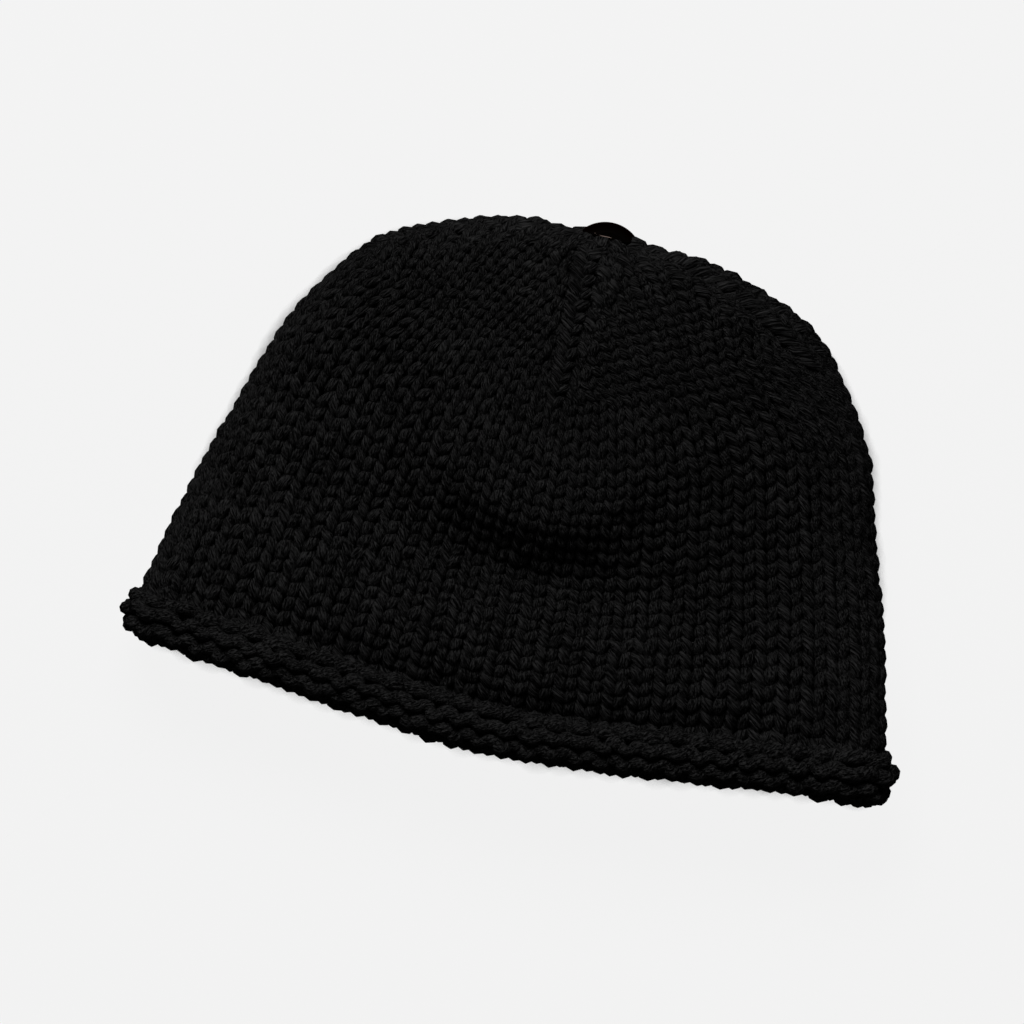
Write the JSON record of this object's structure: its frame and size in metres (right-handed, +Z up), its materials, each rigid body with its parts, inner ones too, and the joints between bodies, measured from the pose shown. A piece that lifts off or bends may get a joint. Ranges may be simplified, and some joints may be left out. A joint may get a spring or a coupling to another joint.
{
  "type": "knitted beanie",
  "caption": "Chunky knit beanie with a rolled brim and a domed stud on its crown, lying flat with an open mouth.",
  "frame": {"origin": "on the surface that the hat lies on, under the middle of its length and width", "axes": "+X across the hat to its right fold, +Y from the mouth to the crown, +Z up from the surface"},
  "size_m": [0.2536, 0.1758, 0.0407],
  "materials": {
    "knit_yarn": "soft plied cashmere yarn in stockinette, black with a faint halo of fibres",
    "brim_yarn": "the same yarn with its purl side outwards, slightly more brushed",
    "stud_metal": "polished dark gunmetal with a warm cast",
    "post_metal": "plain satin steel"
  },
  "bodies": {
    "root": {"knit_body": "knit_yarn", "rolled_brim": "brim_yarn", "crown_stud": "stud_metal", "stud_post": "post_metal"}
  },
  "joints": []
}
